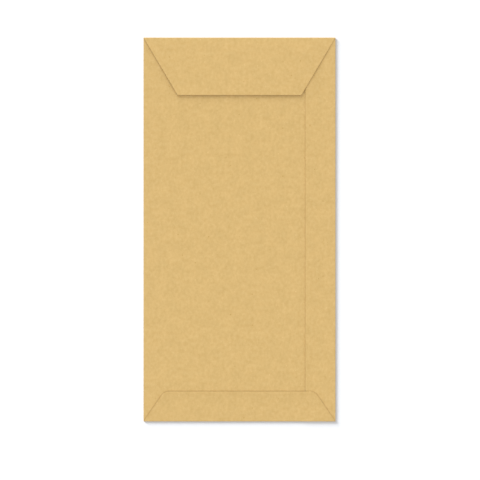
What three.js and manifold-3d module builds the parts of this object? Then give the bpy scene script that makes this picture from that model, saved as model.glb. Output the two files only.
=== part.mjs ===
// A pocket envelope of kraft paper, lying on its address side with its seal flap folded shut.
// Millimetres, +Z up. The origin is under the middle of the envelope, on the surface that it lies
// on. +Y runs from the bottom fold to the fold of the seal flap, and +X is the side with the seam.
import * as THREE from "three";
import { mergeVertices } from "three/addons/utils/BufferGeometryUtils.js";
import Module from "manifold-3d";

// The closed envelope, from fold to fold.
const envelopeWidth = 110;
const envelopeHeight = 220;

// Thickness of the sheet and of what sticks it together.
const paper = 0.15;
const glue = 0.05;
const gum = 0.03;

// Clear spaces.
const pocketGap = 0.5; // between the front and the back panel, where the letter goes
const flapGap = 0.1; // under the gum of the closed seal flap
const looseEdgeGap = 0.3; // from a loose edge to the fold or the step beside it
const cornerNotch = 0.3; // between two folds that meet at a corner

// Seal flap: from the top fold to its free edge, the inset of its free corners, and its gum.
const sealFlapDepth = 33;
const sealFlapInset = 19.6;
const sealFlapRadius = 1.5;
const gumBandWidth = 12;
const gumMargin = 3;

// Bottom flap, glued over the back panel and the seam flap.
const bottomFlapDepth = 17.2;
const bottomFlapInset = 11.9;
const bottomFlapRadius = 5;
const bottomGlueMargin = 2.5;
const drapeLength = 2; // run of the step that climbs onto the seam flap

// Seam flap, glued over the hidden edge of the back panel.
const seamFlapWidth = 17.2;
const seamFlapTopDrop = 14;
const seamFlapBottomRise = 4;
const seamGlueMargin = 2;
const hiddenEdgeGap = 4.5; // from the back panel's hidden edge to the right fold

// Throat: the cut in the back panel that makes the mouth of the pocket.
const throatDepth = 12;
const throatShoulder = 16;
const throatRadius = 9;

// Flat pieces that approximate each half turn of a fold and each rounded corner.
const foldSteps = 8;
const cornerSteps = 6;

// Heights of the layers above the surface.
const backBottom = paper + pocketGap;
const backTop = backBottom + paper;
const seamBottom = backTop + glue;
const seamTop = seamBottom + paper;
const bottomFlapLow = backTop + glue;
const bottomFlapHigh = seamTop + glue;
const gumBottom = seamTop + flapGap;
const sealBottom = gumBottom + gum;
const sealTop = sealBottom + paper;

// Distance of each outer edge from the line where its fold starts, which is the fold's radius.
const leftReach = backTop / 2;
const rightReach = seamTop / 2;
const topReach = sealTop / 2;
const bottomReach = (bottomFlapHigh + paper) / 2;

// The lines where the flat front ends and its folds start, and the ends of the side folds.
const leftLine = -envelopeWidth / 2 + leftReach;
const rightLine = envelopeWidth / 2 - rightReach;
const topLine = envelopeHeight / 2 - topReach;
const bottomLine = -envelopeHeight / 2 + bottomReach;
const sideTop = topLine - cornerNotch;
const sideBottom = bottomLine + cornerNotch;

// The seam flap's free edge, the back panel's hidden edge, and the step in the bottom flap.
const seamEdge = envelopeWidth / 2 - seamFlapWidth;
const hiddenEdge = rightLine - hiddenEdgeGap;
const stepEnd = seamEdge - looseEdgeGap;
const stepStart = stepEnd - drapeLength;

const kraftBrown = { color: 0xddbb7c, roughness: 0.85, metalness: 0 };
const driedGlue = { color: 0xe9dfc6, roughness: 0.5, metalness: 0 };
const driedGum = { color: 0xd6bd88, roughness: 0.35, metalness: 0 };

// Turns about +Z that carry +X to another axis without rounding errors.
const alongY = turn([0, 1, 0], [-1, 0, 0]);
const againstX = turn([-1, 0, 0], [0, -1, 0]);
const againstY = turn([0, -1, 0], [1, 0, 0]);

const wasm = await Module();
wasm.setup();

function turn(newX, newY) {
  const up = new THREE.Vector3(0, 0, 1);
  return new THREE.Matrix4().makeBasis(new THREE.Vector3(...newX), new THREE.Vector3(...newY), up);
}

// The part of one closed geometry that lies inside another.
function common(geometry, other) {
  const mesh = solid(geometry).intersect(solid(other)).getMesh();
  return new THREE.BufferGeometry()
    .setAttribute("position", new THREE.BufferAttribute(mesh.vertProperties, 3))
    .setIndex(new THREE.BufferAttribute(mesh.triVerts, 1));
}

function solid(geometry) {
  const bare = geometry.clone();
  bare.deleteAttribute("normal");
  bare.deleteAttribute("uv");
  const merged = mergeVertices(bare);
  const vertProperties = merged.attributes.position.array;
  const triVerts = new Uint32Array(merged.index.array);
  return new wasm.Manifold(new wasm.Mesh({ numProp: 3, vertProperties, triVerts }));
}

// One corner [x, y, radius] of an outline as points, on an arc where it has a radius.
function cornerPoints(before, [x, y, radius = 0], after) {
  const corner = new THREE.Vector2(x, y);
  if (radius === 0) return [corner];
  const toBefore = new THREE.Vector2(before[0], before[1]).sub(corner);
  const toAfter = new THREE.Vector2(after[0], after[1]).sub(corner);
  const halfAngle = toBefore.angleTo(toAfter) / 2;
  const longest = Math.min(toBefore.length(), toAfter.length()) / 2;
  const tangent = Math.min(radius / Math.tan(halfAngle), longest);
  const start = corner.clone().addScaledVector(toBefore.normalize(), tangent);
  const inwards = toBefore.clone().add(toAfter.normalize()).setLength(tangent / Math.cos(halfAngle));
  const centre = corner.clone().add(inwards);
  const sweep = (Math.PI - 2 * halfAngle) * Math.sign(toAfter.cross(toBefore));
  return Array.from({ length: cornerSteps + 1 }, (_, i) =>
    start.clone().rotateAround(centre, (sweep * i) / cornerSteps),
  );
}

// A closed outline through its corners, given counterclockwise.
function outline(corners) {
  return new THREE.Shape(
    corners.flatMap((corner, i) =>
      cornerPoints(corners.at(i - 1), corner, corners[(i + 1) % corners.length]),
    ),
  );
}

// A flat layer of the given outline, standing on z = 0.
function layer(corners, thickness) {
  return new THREE.ExtrudeGeometry(outline(corners), { depth: thickness, bevelEnabled: false });
}

// The same outline with square corners and every side moved inwards by the margin.
function inset(corners, margin) {
  const sides = corners.map(([x, y], i) => {
    const [nextX, nextY] = corners[(i + 1) % corners.length];
    const along = new THREE.Vector2(nextX - x, nextY - y).normalize();
    const start = new THREE.Vector2(x - along.y * margin, y + along.x * margin);
    return { along, start };
  });
  return sides.map(({ along, start }, i) => {
    const before = sides.at(i - 1);
    const offset = start.clone().sub(before.start);
    const distance = offset.cross(along) / before.along.cross(along);
    return before.start.clone().addScaledVector(before.along, distance).toArray();
  });
}

// The y at which the line from a to b crosses the given x.
function crossing([ax, ay], [bx, by], x) {
  return ay + ((by - ay) * (x - ax)) / (bx - ax);
}

// Paper bent round a fold that runs along +X and bulges towards -Y. Each station gives a distance
// along the fold and the outer height there. The bend starts at firstAngle and ends at lastAngle:
// -90 degrees is under the fold, 0 its outermost line and 90 its top.
function bentPaper(stations, reach, firstAngle, lastAngle) {
  const steps = Math.round((foldSteps * (lastAngle - firstAngle)) / 180);
  const inner = steps + 1;
  const ring = 2 * inner;
  const end = (stations.length - 1) * ring;
  const positions = [];
  const index = [];
  const quad = (a, b, c, d) => index.push(a, b, c, a, c, d);

  for (const { along, height } of stations) {
    for (const depth of [0, paper]) {
      for (let i = 0; i <= steps; i++) {
        const angle = THREE.MathUtils.degToRad(firstAngle + ((lastAngle - firstAngle) * i) / steps);
        const y = -(reach - depth) * Math.cos(angle);
        const z = height / 2 + (height / 2 - depth) * Math.sin(angle);
        positions.push(along, y, z);
      }
    }
  }
  for (let at = 0; at < end; at += ring) {
    const next = at + ring;
    for (let i = 0; i < steps; i++) {
      quad(at + i, next + i, next + i + 1, at + i + 1);
      quad(at + inner + i, at + inner + i + 1, next + inner + i + 1, next + inner + i);
    }
    quad(at, at + inner, next + inner, next);
    quad(at + steps, next + steps, next + inner + steps, at + inner + steps);
  }
  for (let i = 0; i < steps; i++) {
    quad(i, i + 1, inner + i + 1, inner + i);
    quad(end + i, end + inner + i, end + inner + i + 1, end + i + 1);
  }
  return new THREE.BufferGeometry()
    .setAttribute("position", new THREE.Float32BufferAttribute(positions, 3))
    .setIndex(index);
}

// Stations of a fold that is equally high all along.
function evenFold(length, height) {
  return [
    { along: 0, height },
    { along: length, height },
  ];
}

function piece(name, geometry, look, [x, y, z] = [0, 0, 0]) {
  const mesh = new THREE.Mesh(geometry, new THREE.MeshStandardMaterial(look));
  mesh.name = name;
  mesh.position.set(x, y, z);
  return mesh;
}

// The address side, flat on the surface.
function frontPanel() {
  const corners = [
    [leftLine, bottomLine],
    [rightLine, bottomLine],
    [rightLine, topLine],
    [leftLine, topLine],
  ];
  return piece("front_panel", layer(corners, paper), kraftBrown);
}

// The back, cut away at the mouth between two sloping shoulders.
function backPanel() {
  const low = bottomLine + looseEdgeGap;
  const throat = envelopeHeight / 2 - throatDepth;
  const throatRight = rightLine - throatShoulder;
  const corners = [
    [leftLine, low],
    [hiddenEdge, low],
    [hiddenEdge, crossing([throatRight, throat], [rightLine, sideTop], hiddenEdge)],
    [throatRight, throat, throatRadius],
    [leftLine + throatShoulder, throat, throatRadius],
    [leftLine, sideTop],
  ];
  return piece("back_panel", layer(corners, paper), kraftBrown, [0, 0, backBottom]);
}

function seamFlapCorners() {
  return [
    [seamEdge, sideBottom + seamFlapBottomRise],
    [rightLine, sideBottom],
    [rightLine, sideTop],
    [seamEdge, sideTop - seamFlapTopDrop],
  ];
}

function seamFlap() {
  return piece("seam_flap", layer(seamFlapCorners(), paper), kraftBrown, [0, 0, seamBottom]);
}

// Glue between the seam flap and the back panel, short of every edge of the overlap.
function seamGlue() {
  const [lowLeft, lowRight, highRight, highLeft] = seamFlapCorners();
  const overlap = [
    lowLeft,
    [hiddenEdge, crossing(lowLeft, lowRight, hiddenEdge)],
    [hiddenEdge, crossing(highLeft, highRight, hiddenEdge)],
    highLeft,
  ];
  const line = layer(inset(overlap, seamGlueMargin), glue);
  return piece("seam_glue", line, driedGlue, [0, 0, backTop]);
}

// The bottom flap from above, with y counted from the bottom edge of the envelope.
function bottomFlapCorners() {
  return [
    [leftLine, bottomReach],
    [rightLine, bottomReach],
    [envelopeWidth / 2 - bottomFlapInset, bottomFlapDepth, bottomFlapRadius],
    [-envelopeWidth / 2 + bottomFlapInset, bottomFlapDepth, bottomFlapRadius],
  ];
}

// The bottom flap lies on the back panel and climbs onto the seam flap: a draped ribbon, seen from
// the bottom edge, that is cut to the outline of the flap.
function bottomFlap() {
  const ribbonSection = [
    [leftLine, bottomFlapLow],
    [stepStart, bottomFlapLow],
    [stepEnd, bottomFlapHigh],
    [rightLine, bottomFlapHigh],
    [rightLine, bottomFlapHigh + paper],
    [stepEnd, bottomFlapHigh + paper],
    [stepStart, bottomFlapLow + paper],
    [leftLine, bottomFlapLow + paper],
  ];
  const ribbon = layer(ribbonSection, bottomFlapDepth + paper)
    .rotateX(Math.PI / 2)
    .translate(0, bottomFlapDepth + paper, 0);
  const cutter = layer(bottomFlapCorners(), sealTop);
  return piece("bottom_flap", common(ribbon, cutter), kraftBrown, [0, -envelopeHeight / 2, 0]);
}

// A patch of glue under the bottom flap, between two lines across it.
function bottomGlue(name, from, to, height) {
  const low = bottomReach + cornerNotch + seamFlapBottomRise + bottomGlueMargin;
  const span = [
    [from, low],
    [to, low],
    [to, bottomFlapDepth],
    [from, bottomFlapDepth],
  ];
  const allowed = layer(inset(bottomFlapCorners(), bottomGlueMargin), glue);
  const patch = common(layer(span, glue), allowed);
  return piece(name, patch, driedGlue, [0, -envelopeHeight / 2, height]);
}

function leftFold() {
  const paths = evenFold(sideTop - sideBottom, backTop);
  const fold = bentPaper(paths, leftReach, -90, 90).applyMatrix4(againstY);
  return piece("left_fold", fold, kraftBrown, [leftLine, sideTop, 0]);
}

function rightFold() {
  const paths = evenFold(sideTop - sideBottom, seamTop);
  const fold = bentPaper(paths, rightReach, -90, 90).applyMatrix4(alongY);
  return piece("right_fold", fold, kraftBrown, [rightLine, sideBottom, 0]);
}

// The bottom fold is higher beside the seam flap, as the bottom flap is.
function bottomFold() {
  const stations = [
    { along: 0, height: bottomFlapLow + paper },
    { along: stepStart - leftLine, height: bottomFlapLow + paper },
    { along: stepEnd - leftLine, height: bottomFlapHigh + paper },
    { along: rightLine - leftLine, height: bottomFlapHigh + paper },
  ];
  const fold = bentPaper(stations, bottomReach, -90, 90);
  return piece("bottom_fold", fold, kraftBrown, [leftLine, bottomLine, 0]);
}

// The lower half of the top fold stays with the front panel.
function mouthFold() {
  const paths = evenFold(rightLine - leftLine, sealTop);
  const fold = bentPaper(paths, topReach, -90, 0).applyMatrix4(againstX);
  return piece("mouth_fold", fold, kraftBrown, [rightLine, topLine, 0]);
}

// The upper half of the top fold turns with the seal flap.
function flapFold() {
  const paths = evenFold(rightLine - leftLine, sealTop);
  const fold = bentPaper(paths, topReach, 0, 90).applyMatrix4(againstX);
  return piece("flap_fold", fold, kraftBrown, [rightLine, -topReach, -topReach]);
}

// The closed seal flap from above, with y counted from the outermost line of the top fold.
function sealFlapCorners() {
  return [
    [rightLine, -topReach],
    [leftLine, -topReach],
    [-envelopeWidth / 2 + sealFlapInset, -sealFlapDepth, sealFlapRadius],
    [envelopeWidth / 2 - sealFlapInset, -sealFlapDepth, sealFlapRadius],
  ];
}

function sealFlap() {
  const flap = layer(sealFlapCorners(), paper);
  return piece("seal_flap", flap, kraftBrown, [0, 0, sealBottom - topReach]);
}

// The gummed band under the free edge of the seal flap.
function sealGum() {
  const [foldRight, foldLeft, freeLeft, freeRight] = inset(sealFlapCorners(), gumMargin);
  const bandTop = freeLeft[1] + gumBandWidth;
  const span = [
    [foldLeft[0], freeLeft[1]],
    [foldRight[0], freeLeft[1]],
    [foldRight[0], bandTop],
    [foldLeft[0], bandTop],
  ];
  const allowed = layer([foldRight, foldLeft, freeLeft, freeRight], gum);
  const band = common(layer(span, gum), allowed);
  return piece("seal_gum", band, driedGum, [0, 0, gumBottom - topReach]);
}

// What turns about the outermost line of the top fold, halfway up the closed envelope.
function flap() {
  const hinge = new THREE.Group();
  hinge.position.set(0, envelopeHeight / 2, topReach);
  hinge.add(flapFold(), sealFlap(), sealGum());
  return hinge;
}

function pocket() {
  const stay = new THREE.Group();
  stay.add(frontPanel(), backPanel(), seamFlap(), bottomFlap());
  stay.add(leftFold(), rightFold(), bottomFold(), mouthFold());
  stay.add(seamGlue());
  stay.add(bottomGlue("bottom_glue", leftLine, stepStart - bottomGlueMargin, backTop));
  stay.add(bottomGlue("bottom_glue_on_seam", seamEdge + bottomGlueMargin, rightLine, seamTop));
  return stay;
}

const envelope = new THREE.Group();
envelope.add(pocket(), flap());

export default envelope;
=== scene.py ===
import math

import bmesh
import bpy
import numpy as np
from mathutils import Matrix, Vector, noise


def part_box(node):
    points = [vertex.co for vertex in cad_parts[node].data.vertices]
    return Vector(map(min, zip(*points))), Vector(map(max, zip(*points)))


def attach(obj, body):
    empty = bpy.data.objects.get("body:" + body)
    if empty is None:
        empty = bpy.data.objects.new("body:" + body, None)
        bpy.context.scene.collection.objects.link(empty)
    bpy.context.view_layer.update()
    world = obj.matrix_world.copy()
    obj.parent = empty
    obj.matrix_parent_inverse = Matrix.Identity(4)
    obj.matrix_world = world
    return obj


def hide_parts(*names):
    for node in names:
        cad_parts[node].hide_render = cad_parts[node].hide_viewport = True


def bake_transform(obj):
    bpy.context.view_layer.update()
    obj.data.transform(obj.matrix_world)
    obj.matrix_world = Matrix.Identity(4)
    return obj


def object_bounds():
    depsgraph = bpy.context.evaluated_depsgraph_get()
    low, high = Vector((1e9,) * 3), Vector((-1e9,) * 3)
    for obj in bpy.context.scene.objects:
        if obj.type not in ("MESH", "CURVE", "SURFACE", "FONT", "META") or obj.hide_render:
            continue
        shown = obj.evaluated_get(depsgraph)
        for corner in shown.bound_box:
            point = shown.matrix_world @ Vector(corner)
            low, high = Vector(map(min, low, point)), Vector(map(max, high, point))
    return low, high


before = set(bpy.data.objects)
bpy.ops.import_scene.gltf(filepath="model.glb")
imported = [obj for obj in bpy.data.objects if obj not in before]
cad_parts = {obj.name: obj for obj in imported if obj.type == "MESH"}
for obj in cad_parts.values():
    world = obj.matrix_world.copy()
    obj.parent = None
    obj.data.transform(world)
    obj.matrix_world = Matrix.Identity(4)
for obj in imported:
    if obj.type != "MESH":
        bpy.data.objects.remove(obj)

CAD_LOW, CAD_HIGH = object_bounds()
MM = 0.001

# The folded sheet, as the frame has it.
FRONT_LOW, FRONT_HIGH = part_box("front_panel")
BACK_LOW, BACK_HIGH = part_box("back_panel")
SEAM_LOW, SEAM_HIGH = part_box("seam_flap")
BOTTOM_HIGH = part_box("bottom_flap")[1]
SEAL_LOW, SEAL_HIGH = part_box("seal_flap")
GUM_LOW, GUM_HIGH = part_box("seal_gum")
PAPER = FRONT_HIGH.z - FRONT_LOW.z
GLUE = SEAM_LOW.z - BACK_HIGH.z
GUM = GUM_HIGH.z - GUM_LOW.z

# Outlines that the boxes of the nodes don't give, in real sizes.
SEAL_INSET = 19.6 * MM
SEAL_RADIUS = 1.5 * MM
BOTTOM_INSET = 11.9 * MM
BOTTOM_RADIUS = 5 * MM
SEAM_TOP_DROP = 14 * MM
SEAM_BOTTOM_RISE = 4 * MM
THROAT_DEPTH = 12 * MM
THROAT_SHOULDER = 16 * MM
THROAT_RADIUS = 9 * MM
DRAPE_LENGTH = 2 * MM

# How the paper stands, compared with the flat panels of the frame.
PUFF = 0.35 * MM  # rise of the empty pocket's back in its middle
WAVE = 0.06 * MM  # height of the paper's uneven waves
WAVE_LENGTH = 38 * MM
FLAP_SPRING = 0.12 * MM  # rise of the seal flap close to its fold
FLAP_LIFT = 0.36 * MM  # rise of its free edge above that
LOOSE_LIFT = 0.22 * MM  # rise of the other flaps' loose edges
LOOSE_WIDTH = 5 * MM  # from a loose edge to where the paper lies down
SIDE_LIFT_START = 0.25  # share of the bottom flap's depth in which the lift of its sides grows
FOLD_SQUARENESS = 0.5  # 1 is a round fold, and less a more sharply pressed one
SOFT_EDGE = 7 * MM  # from a fold to where the puff and the waves are whole

# Fineness of the meshes.
CELL = 2.5 * MM
FOLD_STEPS = 14
ARC_STEPS = 8
ROW_DECIMALS = 7  # rows that are equal to so many decimals of a metre are one
SHARP_ANGLE = 50  # degrees between two faces whose edge stays sharp

# The photograph, and where the envelope is in it, in pixels.
PHOTO_SIZE = 480
PHOTO_LEFT, PHOTO_RIGHT = 143.5, 335.5
PHOTO_TOP, PHOTO_BOTTOM = 37.5, 421.5
CAMERA_DISTANCE = 1.0  # metres
SENSOR_WIDTH = 36.0  # millimetres


# Heights of the layers above the floor, at the middle of the paper's thickness


def smooth(t):
    t = min(max(t, 0.0), 1.0)
    return t * t * (3 - 2 * t)


def puff(x, y):
    """How far the upper layers stand above their flat height."""
    from_side = min(x - CAD_LOW.x, CAD_HIGH.x - x)
    from_end = min(y - CAD_LOW.y, CAD_HIGH.y - y)
    free = smooth(from_side / SOFT_EDGE) * smooth(from_end / SOFT_EDGE)
    across = math.cos(math.pi * x / (CAD_HIGH.x - CAD_LOW.x))
    along = math.cos(math.pi * y / (CAD_HIGH.y - CAD_LOW.y))
    wave = noise.noise(Vector((x, y, 0)) / WAVE_LENGTH)
    return free * (PUFF * across * math.sqrt(max(along, 0)) + WAVE * wave)


def front_height(x, y):
    return (FRONT_LOW.z + FRONT_HIGH.z) / 2


def back_height(x, y):
    return (BACK_LOW.z + BACK_HIGH.z) / 2 + puff(x, y)


def loose_lift(from_edge):
    return LOOSE_LIFT * smooth(1 - from_edge / LOOSE_WIDTH)


def seam_height(x, y):
    """The seam flap's free edge stands up, down to where the bottom flap covers it."""
    lift = min(loose_lift(x - SEAM_LOW.x), loose_lift(BOTTOM_HIGH.y - y))
    return (SEAM_LOW.z + SEAM_HIGH.z) / 2 + lift + puff(x, y)


def bottom_height(x, y):
    """The bottom flap climbs from the back panel onto the seam flap. Its slanted sides stand up a
    little, and so does its free edge, except where it lies on the seam flap."""
    low = BACK_HIGH.z + GLUE + PAPER / 2
    high = SEAM_HIGH.z + GLUE + PAPER / 2
    climbed = smooth((x - SEAM_LOW.x + DRAPE_LENGTH) / DRAPE_LENGTH)
    up = (y - CAD_LOW.y) / (BOTTOM_HIGH.y - CAD_LOW.y)
    from_side = CAD_HIGH.x - BOTTOM_INSET * up - abs(x)
    side_lift = loose_lift(from_side) * smooth(up / SIDE_LIFT_START)
    free_lift = min(loose_lift(BOTTOM_HIGH.y - y), loose_lift(x - SEAM_LOW.x))
    return low + (high - low) * climbed + max(side_lift, free_lift) + puff(x, y)


def seal_height(x, y):
    """The closed seal flap springs up a little from its fold."""
    out = max(SEAL_HIGH.y - y, 0)
    lift = FLAP_SPRING * smooth(out / LOOSE_WIDTH) + FLAP_LIFT * out / (SEAL_HIGH.y - SEAL_LOW.y)
    return (SEAL_LOW.z + SEAL_HIGH.z) / 2 + lift + puff(x, y)


def above_back(x, y):
    return back_height(x, y) + (PAPER + GLUE) / 2


def above_seam(x, y):
    return seam_height(x, y) + (PAPER + GLUE) / 2


def under_seal(x, y):
    return seal_height(x, y) - (PAPER + GUM) / 2


# Outlines and meshes


def rounded(corners):
    """The corners (across, along, radius) as a line of points, with an arc at each inner corner."""
    points = [corners[0][:2]]
    for before, (across, along, radius), after in zip(corners, corners[1:], corners[2:]):
        corner = Vector((across, along))
        to_before = (Vector(before[:2]) - corner).normalized()
        to_after = (Vector(after[:2]) - corner).normalized()
        half = to_before.angle(to_after) / 2
        start = corner + to_before * radius / math.tan(half)
        centre = corner + (to_before + to_after).normalized() * radius / math.sin(half)
        turn = math.copysign(math.pi - 2 * half, to_before.x * to_after.y - to_before.y * to_after.x)
        for i in range(ARC_STEPS + 1):
            arm = Matrix.Rotation(-turn * i / ARC_STEPS, 2) @ (start - centre)
            points.append(tuple(centre + arm))
    return points + [corners[-1][:2]]


def rows_between(near, far):
    """Where the sheet gets its rows of points: evenly, and at each point of the outline's arcs."""
    low, high = near[0][0], near[-1][0]
    even = np.linspace(low, high, max(2, math.ceil((high - low) / CELL) + 1))
    own = [p[0] for p in near + far]
    rows = np.clip(np.concatenate([even, own]), low, high)
    return np.unique(np.round(rows, ROW_DECIMALS))


def flat_grid(near, far, place, height):
    """Rows of points between two lines of points (across, along), and their places in the blank."""
    rows = rows_between(near, far)
    low = np.interp(rows, *zip(*near))
    high = np.interp(rows, *zip(*far))
    columns = max(2, math.ceil((high - low).max() / CELL) + 1)
    points, blank = [], []
    for across, start, end in zip(rows, low, high):
        for along in np.linspace(start, end, columns):
            x, y = place(across, along)
            points.append((x, y, height(x, y)))
            blank.append((x, y))
    shape = (len(rows), columns)
    return np.array(points).reshape(*shape, 3), np.array(blank).reshape(*shape, 2)


def sheet_faces(rows, columns):
    """The faces of a grid of points, those of its copy on the other side, and the rim between them."""
    grid = np.arange(rows * columns).reshape(rows, columns)
    copy = rows * columns
    faces = []
    for r in range(rows - 1):
        for c in range(columns - 1):
            quad = (grid[r, c], grid[r + 1, c], grid[r + 1, c + 1], grid[r, c + 1])
            faces += [quad, tuple(copy + i for i in reversed(quad))]
    rim = [*grid[:, 0], *grid[-1, 1:], *grid[-2::-1, -1], *grid[0, -2:0:-1]]
    for a, b in zip(rim, rim[1:] + rim[:1]):
        faces.append((a, copy + a, copy + b, b))
    return faces


def add_map(mesh, name, places):
    """A UV map with one place for each point of the grid, alike on both sides."""
    corners = [loop.vertex_index for loop in mesh.loops]
    places = np.concatenate([places.reshape(-1, 2)] * 2)[corners]
    mesh.uv_layers.new(name=name).data.foreach_set("uv", places.astype(np.float32).ravel())


def turn_faces_outwards(mesh):
    shape = bmesh.new()
    shape.from_mesh(mesh)
    bmesh.ops.recalc_face_normals(shape, faces=shape.faces)
    shape.to_mesh(mesh)
    shape.free()


def thick_mesh(name, points, blank, thickness):
    """A closed sheet of the given thickness round a grid of points."""
    normal = np.cross(np.gradient(points, axis=0), np.gradient(points, axis=1))
    normal /= np.linalg.norm(normal, axis=2, keepdims=True)
    half = normal * thickness / 2
    verts = np.concatenate([(points + half).reshape(-1, 3), (points - half).reshape(-1, 3)])
    mesh = bpy.data.meshes.new(name)
    mesh.from_pydata(verts.tolist(), [], sheet_faces(*points.shape[:2]))
    add_map(mesh, "blank", blank)
    add_map(mesh, "closed", points[:, :, :2])
    turn_faces_outwards(mesh)
    mesh.shade_smooth()
    mesh.set_sharp_from_angle(angle=math.radians(SHARP_ANGLE))
    piece = bpy.data.objects.new(name, mesh)
    bpy.context.scene.collection.objects.link(piece)
    return piece


class Fold:
    """A fold of the front panel: where it starts, the way out, and how far its curve reaches."""

    def __init__(self, axis, sign, line, outermost):
        self.axis = axis
        self.sign = sign
        self.line = line
        self.reach = abs(outermost - line)

    def place(self, inwards, along):
        across = self.line - self.sign * inwards
        return (across, along) if self.axis == "x" else (along, across)


def folded_mesh(name, fold, start, end, ends, near, far, height):
    """Paper that runs round a fold and on over the envelope. The fold goes from start to end along
    its line, and its curve draws out at both ends to the outermost lines given by ends, as a mitre."""
    flat, blank = flat_grid(near, far, fold.place, height)
    columns = flat.shape[1]
    reach = fold.reach - PAPER / 2
    curve_length = math.pi / 2 * (reach + (flat[0, :, 2].mean() - PAPER / 2) / 2)
    curve, curve_blank = [], []
    for i in range(FOLD_STEPS):
        angle = math.pi * (i / FOLD_STEPS - 0.5)
        out = reach * math.cos(angle) ** FOLD_SQUARENESS
        rise = math.copysign(abs(math.sin(angle)) ** FOLD_SQUARENESS, angle)
        share = out / fold.reach
        first = start + (ends[0] - start) * share
        last = end + (ends[1] - end) * share
        for along in np.linspace(first, last, columns):
            x, y = fold.place(-out, along)
            x_line, y_line = fold.place(0, min(max(along, start), end))
            low, high = PAPER / 2, height(x_line, y_line)
            curve.append((x, y, low + (high - low) * (1 + rise) / 2))
            curve_blank.append(fold.place(-curve_length * i / FOLD_STEPS, along))
    curve = np.array(curve).reshape(FOLD_STEPS, columns, 3)
    curve_blank = np.array(curve_blank).reshape(FOLD_STEPS, columns, 2)
    axis = 0 if fold.axis == "x" else 1
    line_blank = fold.line + fold.sign * curve_length
    blank[:, :, axis] = line_blank + fold.line - blank[:, :, axis]
    points = np.concatenate([curve, flat])
    return thick_mesh(name, points, np.concatenate([curve_blank, blank]), PAPER)


# Kraft paper and dried films


# Layers of noise, with about so many spots per millimetre across and along the sheet.
CLOUDS = {"per_mm": (0.16, 0.16), "detail": 3}
MOTTLE = {"per_mm": (0.6, 0.48), "detail": 4, "roughness": 0.6}
GRAIN = {"per_mm": (4.0, 4.0), "detail": 3, "roughness": 0.6}
LONG_FIBRES = {"per_mm": (0.35, 5.0), "turn": 0.35}
CROSS_FIBRES = {"per_mm": (4.5, 0.4), "turn": 0.2}
BLOTCHES = {"per_mm": (0.3, 0.3), "detail": 3}
STREAKS = {"per_mm": (0.15, 2.5)}
NOISE_LOW, NOISE_HIGH = 0.3, 0.7  # nearly all values of the noise lie between these

# What the layers make of the shade and the roughness: the middle value, and the swing around it.
MOTTLE_SHADE = (0, 0.07)
FIBRE_SHADE = (0, 0.025)
BLOTCH_SHADE = (0.96, 0.04)
STREAK_SHADE = (0, 0.04)
PAPER_ROUGHNESS = (0.84, 0.06)
FILM_ROUGHNESS_SWING = 0.1

PAPER_RELIEF = {"strength": 0.25, "depth": 0.03}  # depths in millimetres
FILM_RELIEF = {"strength": 0.2, "depth": 0.02}
PAPER_SPECULAR = 0.25
KRAFT_DEEP = (0.7, 0.476, 0.1855, 1)  # the tones of its clouds
KRAFT_PALE = (0.75, 0.509, 0.2025, 1)
KRAFT_GRAIN = (0.54, 0.52, 0.365)  # what a lighter or darker spot adds
GLUE_COLOUR, GLUE_ROUGHNESS = (0.82, 0.74, 0.57), 0.55
GUM_COLOUR, GUM_ROUGHNESS = (0.68, 0.52, 0.26), 0.4

SPECK_SPACING = 2.5  # millimetres
SPECK_RADIUS = 0.45  # millimetres
DARK_SPECKS, DARK_SPECK_SHADE = 0.12, 0.42  # share of all specks, and how dark the darkest one is
PALE_SPECKS, PALE_SPECK_SHADE = 0.3, 0.25
# Painted shade along the bottom flap's edge, on the paper under it: how much darker the colour gets at
# the edge, and how far out the darkening reaches. It stands in for the flap's shadow.
PAINTED_EDGE_SHADE = 0.2
PAINTED_EDGE_SHADE_WIDTH = 0.7 * MM


def add(tree, kind, inputs=(), **settings):
    """A shader node whose sockets are set or linked, by name or by number."""
    made = tree.nodes.new("ShaderNode" + kind)
    for name, value in settings.items():
        setattr(made, name, value)
    for key, value in dict(inputs).items():
        if isinstance(value, bpy.types.NodeSocket):
            tree.links.new(value, made.inputs[key])
        else:
            made.inputs[key].default_value = value
    return made


def math_node(tree, operation, a, b):
    return add(tree, "Math", {0: a, 1: b}, operation=operation).outputs[0]


def spread(tree, value, low, high, to_low, to_high):
    inputs = {"Value": value, "From Min": low, "From Max": high, "To Min": to_low, "To Max": to_high}
    return add(tree, "MapRange", inputs, clamp=True).outputs[0]


def total(tree, first, *others):
    for other in others:
        first = math_node(tree, "ADD", first, other)
    return first


def vector_node(tree, operation, a, b):
    """A vector, or the one number of a distance or a dot product."""
    outputs = add(tree, "VectorMath", {0: a, 1: b}, operation=operation).outputs
    return next(socket for socket in outputs if socket.enabled)


def scaled(tree, vector, factor):
    return add(tree, "VectorMath", {0: vector, "Scale": factor}, operation="SCALE").outputs["Vector"]


def noise_layer(tree, place, per_mm, turn=0.0, detail=2, roughness=0.5):
    """Noise between 0 and 1, its spots turned by so many radians."""
    mapping = {"Vector": place, "Scale": (*per_mm, 1), "Rotation": (0, 0, turn)}
    turned = add(tree, "Mapping", mapping).outputs[0]
    inputs = {"Vector": turned, "Scale": 1.0, "Detail": detail, "Roughness": roughness}
    return add(tree, "TexNoise", inputs).outputs["Fac"]


def around(tree, layer, middle, swing):
    """A layer of noise as values that swing around the middle one."""
    return spread(tree, layer, NOISE_LOW, NOISE_HIGH, middle - swing, middle + swing)


def new_material(name):
    material = bpy.data.materials.new(name)
    material.use_nodes = True
    tree = material.node_tree
    return material, tree, tree.nodes["Principled BSDF"]


def place_on_blank(tree):
    """The place on the unfolded sheet, in millimetres."""
    return scaled(tree, add(tree, "UVMap", uv_map="blank").outputs[0], 1 / MM)


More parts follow.
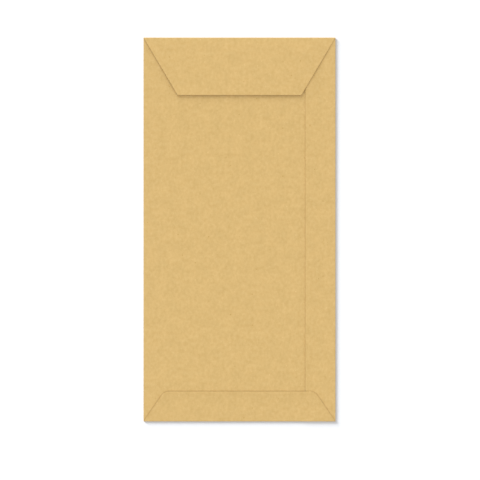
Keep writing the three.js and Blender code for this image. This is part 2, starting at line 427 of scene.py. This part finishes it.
def connect(tree, shader, colour, roughness, relief, strength, depth):
    tree.links.new(colour, shader.inputs["Base Color"])
    tree.links.new(roughness, shader.inputs["Roughness"])
    bump = add(tree, "Bump", {"Height": relief, "Strength": strength, "Distance": depth * MM})
    tree.links.new(bump.outputs[0], shader.inputs["Normal"])


def specks(tree, place):
    """Sparse specks of bark and of pale fibre. Most points of the pattern have none."""
    inputs = {"Vector": place, "Scale": 1 / SPECK_SPACING}
    pattern = add(tree, "TexVoronoi", inputs).outputs
    kind = add(tree, "SeparateColor", {"Color": pattern["Color"]}).outputs["Red"]
    dark = spread(tree, kind, 1 - DARK_SPECKS, 1, 0, -DARK_SPECK_SHADE)
    pale = spread(tree, kind, 0, PALE_SPECKS, PALE_SPECK_SHADE, 0)
    spot = spread(tree, pattern["Distance"], 0, SPECK_RADIUS / SPECK_SPACING, 1, 0)
    return math_node(tree, "MULTIPLY", spot, total(tree, dark, pale))


def painted_edge_shade(tree, start, end):
    """Painted shade: how much of its colour the paper keeps near a line between two places on the
    closed envelope. It is darkened there as a stand-in for a flap edge's shadow.
    """
    place = add(tree, "UVMap", uv_map="closed").outputs[0]
    along = end - start
    from_start = vector_node(tree, "SUBTRACT", place, start)
    share = vector_node(tree, "DOT_PRODUCT", from_start, along / along.length_squared)
    nearest = scaled(tree, along, spread(tree, share, 0, 1, 0, 1))
    distance = vector_node(tree, "DISTANCE", from_start, nearest)
    return spread(tree, distance, 0, PAINTED_EDGE_SHADE_WIDTH, 1 - PAINTED_EDGE_SHADE, 1)


def kraft_paper(name="kraft_paper", painted_shade_corners=()):
    """The corners given, if any, trace a flap's edge. Along it, shade is painted into the paper's
    colour as a stand-in for the flap's shadow.
    """
    material, tree, shader = new_material(name)
    place = place_on_blank(tree)
    mottle = noise_layer(tree, place, **MOTTLE)
    grain = noise_layer(tree, place, **GRAIN)
    long_fibres = noise_layer(tree, place, **LONG_FIBRES)
    cross_fibres = noise_layer(tree, place, **CROSS_FIBRES)

    clouds = spread(tree, noise_layer(tree, place, **CLOUDS), NOISE_LOW, NOISE_HIGH, 0, 1)
    tone = add(tree, "MixRGB", {0: clouds, 1: KRAFT_DEEP, 2: KRAFT_PALE}).outputs[0]
    shade = total(
        tree,
        around(tree, mottle, *MOTTLE_SHADE),
        around(tree, long_fibres, *FIBRE_SHADE),
        around(tree, cross_fibres, *FIBRE_SHADE),
        specks(tree, place),
    )
    colour = vector_node(tree, "ADD", tone, scaled(tree, KRAFT_GRAIN, shade))
    # Painted shade: the colour is darkened near the given line, as a stand-in for the shadow along the
    # flap's edge.
    light = 1
    for start, end in zip(painted_shade_corners, painted_shade_corners[1:]):
        light = math_node(tree, "MINIMUM", light, painted_edge_shade(tree, start, end))
    roughness = around(tree, mottle, *PAPER_ROUGHNESS)
    relief = total(tree, grain, long_fibres, cross_fibres)
    connect(tree, shader, scaled(tree, colour, light), roughness, relief, **PAPER_RELIEF)
    shader.inputs["Specular IOR Level"].default_value = PAPER_SPECULAR
    return material


def dried_film(name, colour, roughness):
    """A thin dried film with a slightly uneven gloss and thickness."""
    material, tree, shader = new_material(name)
    place = place_on_blank(tree)
    blotches = noise_layer(tree, place, **BLOTCHES)
    streaks = noise_layer(tree, place, **STREAKS)
    shade = total(tree, around(tree, blotches, *BLOTCH_SHADE), around(tree, streaks, *STREAK_SHADE))
    uneven_roughness = around(tree, blotches, roughness, FILM_ROUGHNESS_SWING)
    connect(tree, shader, scaled(tree, colour, shade), uneven_roughness, streaks, **FILM_RELIEF)
    return material


# The pieces


LEFT_FOLD = Fold("x", -1, FRONT_LOW.x, CAD_LOW.x)
RIGHT_FOLD = Fold("x", 1, FRONT_HIGH.x, CAD_HIGH.x)
BOTTOM_FOLD = Fold("y", -1, FRONT_LOW.y, CAD_LOW.y)
TOP_FOLD = Fold("y", 1, FRONT_HIGH.y, CAD_HIGH.y)
X_LIMITS = (FRONT_LOW.x, FRONT_HIGH.x)
Y_LIMITS = (FRONT_LOW.y, FRONT_HIGH.y)
X_ENDS = (CAD_LOW.x, CAD_HIGH.x)
Y_ENDS = (CAD_LOW.y, CAD_HIGH.y)


def finish_piece(piece, material, slot, body, *nodes):
    piece.data.materials.append(material)
    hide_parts(*nodes)
    if body:
        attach(piece, body)


def as_is(across, along):
    return across, along


def sideways(across, along):
    return along, across


def front_panel(paper):
    near = [(X_LIMITS[0], Y_LIMITS[0]), (X_LIMITS[1], Y_LIMITS[0])]
    far = [(X_LIMITS[0], Y_LIMITS[1]), (X_LIMITS[1], Y_LIMITS[1])]
    points, blank = flat_grid(near, far, as_is, front_height)
    piece = thick_mesh("front_panel_paper", points, blank, PAPER)
    finish_piece(piece, paper, "kraft_paper", "pocket", "front_panel")


def back_panel(paper):
    """The back, with the throat cut between two sloping shoulders."""
    width = BACK_HIGH.x - BACK_LOW.x
    whole = FRONT_HIGH.x - FRONT_LOW.x
    throat = CAD_HIGH.y - THROAT_DEPTH
    slope = (BACK_HIGH.y - throat) / THROAT_SHOULDER
    near = [(0, BACK_LOW.y), (width, BACK_LOW.y)]
    far = rounded(
        [
            (0, BACK_HIGH.y),
            (THROAT_SHOULDER, throat, THROAT_RADIUS),
            (whole - THROAT_SHOULDER, throat, THROAT_RADIUS),
            (width, throat + slope * (width - whole + THROAT_SHOULDER)),
        ]
    )
    piece = folded_mesh("back_panel_paper", LEFT_FOLD, *Y_LIMITS, Y_ENDS, near, far, back_height)
    finish_piece(piece, paper, "kraft_paper", "pocket", "back_panel", "left_fold")


def seam_flap(paper):
    width = SEAM_HIGH.x - SEAM_LOW.x
    near = [(0, SEAM_LOW.y), (width, SEAM_LOW.y + SEAM_BOTTOM_RISE)]
    far = [(0, SEAM_HIGH.y), (width, SEAM_HIGH.y - SEAM_TOP_DROP)]
    piece = folded_mesh("seam_flap_paper", RIGHT_FOLD, *Y_LIMITS, Y_ENDS, near, far, seam_height)
    finish_piece(piece, paper, "kraft_paper", "pocket", "seam_flap", "right_fold")


def leaning_side(start, corner, depth, radius):
    """A flap's side from its fold to its free edge, with the free corner rounded."""
    middle_of_edge = (depth, 0)
    return rounded([(0, start), (depth, corner, radius), middle_of_edge])[:-1]


def leaning_sides(depth, inset, radius):
    """Both sides of a flap whose free corners are so far in from the envelope's sides."""
    near = leaning_side(X_LIMITS[0], CAD_LOW.x + inset, depth, radius)
    far = leaning_side(X_LIMITS[1], CAD_HIGH.x - inset, depth, radius)
    return near, far


def bottom_flap_sides():
    return leaning_sides(BOTTOM_HIGH.y - BOTTOM_FOLD.line, BOTTOM_INSET, BOTTOM_RADIUS)


def bottom_flap_line():
    """The edge of the bottom flap from fold to fold, with each rounded corner as two straight cuts."""
    near, far = ([side[0], *side[1 :: ARC_STEPS // 2]] for side in bottom_flap_sides())
    return [Vector((*BOTTOM_FOLD.place(*point), 0)) for point in near + far[::-1]]


def bottom_flap(paper):
    near, far = bottom_flap_sides()
    piece = folded_mesh("bottom_flap_paper", BOTTOM_FOLD, *X_LIMITS, X_ENDS, near, far, bottom_height)
    finish_piece(piece, paper, "kraft_paper", "pocket", "bottom_flap", "bottom_fold")


def seal_flap(paper):
    """The seal flap and the whole top fold, which bends when the flap turns."""
    near, far = leaning_sides(TOP_FOLD.line - SEAL_LOW.y, SEAL_INSET, SEAL_RADIUS)
    piece = folded_mesh("seal_flap_paper", TOP_FOLD, *X_LIMITS, X_ENDS, near, far, seal_height)
    finish_piece(piece, paper, "kraft_paper", None, "seal_flap", "flap_fold", "mouth_fold")
    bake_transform(piece)


def film(node, near, far, height, thickness, material, slot, body, place=as_is):
    points, blank = flat_grid(near, far, place, height)
    piece = thick_mesh(node + "_film", points, blank, thickness)
    finish_piece(piece, material, slot, body, node)


def seam_glue(glue):
    low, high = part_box("seam_glue")
    top = high.y - SEAM_TOP_DROP * (high.x - low.x) / (SEAM_HIGH.x - SEAM_LOW.x)
    near = [(low.x, low.y + SEAM_BOTTOM_RISE / 2), (high.x, low.y)]
    far = [(low.x, top), (high.x, high.y)]
    film("seam_glue", near, far, above_back, GLUE, glue, "dried_glue", "pocket")


def bottom_glues(glue):
    """Each patch of glue leans with the side of the flap that is near it."""
    depth = BOTTOM_HIGH.y - CAD_LOW.y
    for node, left, right, height in (
        ("bottom_glue", BOTTOM_INSET, 0, above_back),
        ("bottom_glue_on_seam", 0, BOTTOM_INSET, above_seam),
    ):
        low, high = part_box(node)
        lean = (high.y - low.y) / depth
        near = [(low.y, low.x), (high.y, low.x + left * lean)]
        far = [(low.y, high.x), (high.y, high.x - right * lean)]
        film(node, near, far, height, GLUE, glue, "dried_glue", "pocket", sideways)


def seal_gum(gum):
    """The gummed band leans with the sides of the flap."""
    low, high = GUM_LOW, GUM_HIGH
    lean = (high.y - low.y) / (SEAL_HIGH.y - SEAL_LOW.y)
    near = [(low.y, low.x + SEAL_INSET * lean), (high.y, low.x)]
    far = [(low.y, high.x - SEAL_INSET * lean), (high.y, high.x)]
    film("seal_gum", near, far, under_seal, GUM, gum, "dried_gum", "flap", sideways)


# The studio


SKY_STRENGTH = 0.8
SEEN_SKY_STRENGTH = 1.0  # pure white
KEY = (1.75, 12, 20, 42)  # strength, azimuth, elevation and softness
FLOOR_SUN = (6.3, 45, 18, 32)
FLOOR_WHITE = (0.74, 0.75, 0.775, 1)
FLOOR_ROUGHNESS = 0.9
FLOOR_SIZE = 8.0
FLOOR_DROP = 0.02 * MM  # so that the floor and the address side don't lie in one plane


def floor():
    """A white floor that keeps the envelope's shadow."""
    mesh = bpy.data.meshes.new("floor")
    half = FLOOR_SIZE / 2
    corners = [(-half, -half, 0), (half, -half, 0), (half, half, 0), (-half, half, 0)]
    mesh.from_pydata(corners, [], [(0, 1, 2, 3)])
    plane = bpy.data.objects.new("floor", mesh)
    plane.location.z = -FLOOR_DROP
    bpy.context.scene.collection.objects.link(plane)
    material, _, shader = new_material("floor_white")
    shader.inputs["Base Color"].default_value = FLOOR_WHITE
    shader.inputs["Roughness"].default_value = FLOOR_ROUGHNESS
    shader.inputs["Specular IOR Level"].default_value = 0
    mesh.materials.append(material)
    return plane


def sun(name, strength, azimuth, elevation, softness):
    """A soft sun. Azimuth 0 shines from +Y, and 90 from -X. All angles are in degrees."""
    data = bpy.data.lights.new(name, "SUN")
    data.energy = strength
    data.angle = math.radians(softness)
    lamp = bpy.data.objects.new(name, data)
    turn, rise = math.radians(azimuth), math.radians(elevation)
    level = Vector((-math.sin(turn), math.cos(turn), 0))
    towards = level * math.cos(rise) + Vector((0, 0, math.sin(rise)))
    lamp.rotation_euler = towards.to_track_quat("Z", "Y").to_euler()
    bpy.context.scene.collection.objects.link(lamp)
    return lamp


def link_light(lamp, receiver, state):
    """INCLUDE lets the lamp light the receiver alone, and EXCLUDE all but it. Shadows stay."""
    linked = bpy.data.collections.new(lamp.name + "_receiver")
    linked.objects.link(receiver)
    linked.collection_objects[0].light_linking.link_state = state
    lamp.light_linking.receiver_collection = linked


def sky():
    """An even white sky, which the camera sees as pure white."""
    world = bpy.data.worlds.new("sky")
    world.use_nodes = True
    bpy.context.scene.world = world
    tree = world.node_tree
    paths = add(tree, "LightPath").outputs
    seen = math_node(tree, "MAXIMUM", paths["Is Camera Ray"], paths["Is Glossy Ray"])
    seen = math_node(tree, "MAXIMUM", seen, paths["Is Transmission Ray"])
    strength = spread(tree, seen, 0, 1, SKY_STRENGTH, SEEN_SKY_STRENGTH)
    background = tree.nodes["Background"]
    background.inputs["Color"].default_value = (1, 1, 1, 1)
    tree.links.new(strength, background.inputs["Strength"])


def camera():
    """Straight above, at the photograph's scale and place."""
    pixel = (CAD_HIGH.y - CAD_LOW.y) / (PHOTO_BOTTOM - PHOTO_TOP)
    middle = PHOTO_SIZE / 2
    data = bpy.data.cameras.new("camera")
    data.sensor_width = SENSOR_WIDTH
    data.lens = SENSOR_WIDTH * CAMERA_DISTANCE / (PHOTO_SIZE * pixel)
    eye = bpy.data.objects.new("camera", data)
    eye.location = (
        (middle - (PHOTO_LEFT + PHOTO_RIGHT) / 2) * pixel,
        ((PHOTO_TOP + PHOTO_BOTTOM) / 2 - middle) * pixel,
        CAMERA_DISTANCE + CAD_HIGH.z,
    )
    bpy.context.scene.collection.objects.link(eye)
    bpy.context.scene.camera = eye


camera()
sky()
white_floor = floor()
link_light(sun("key", *KEY), white_floor, "EXCLUDE")
link_light(sun("floor_sun", *FLOOR_SUN), white_floor, "INCLUDE")
paper = kraft_paper()
# The back panel and seam flap get paper with shade painted along the bottom flap's edge, as a stand-in
# for its shadow.
paper_with_painted_shade = kraft_paper("kraft_paper_painted_shade", bottom_flap_line())
glue = dried_film("dried_glue", GLUE_COLOUR, GLUE_ROUGHNESS)
gum = dried_film("dried_gum", GUM_COLOUR, GUM_ROUGHNESS)
front_panel(paper)
back_panel(paper_with_painted_shade)
seam_flap(paper_with_painted_shade)
bottom_flap(paper)
seal_flap(paper)
seam_glue(glue)
bottom_glues(glue)
seal_gum(gum)
bpy.context.scene.view_settings.view_transform = "Standard"
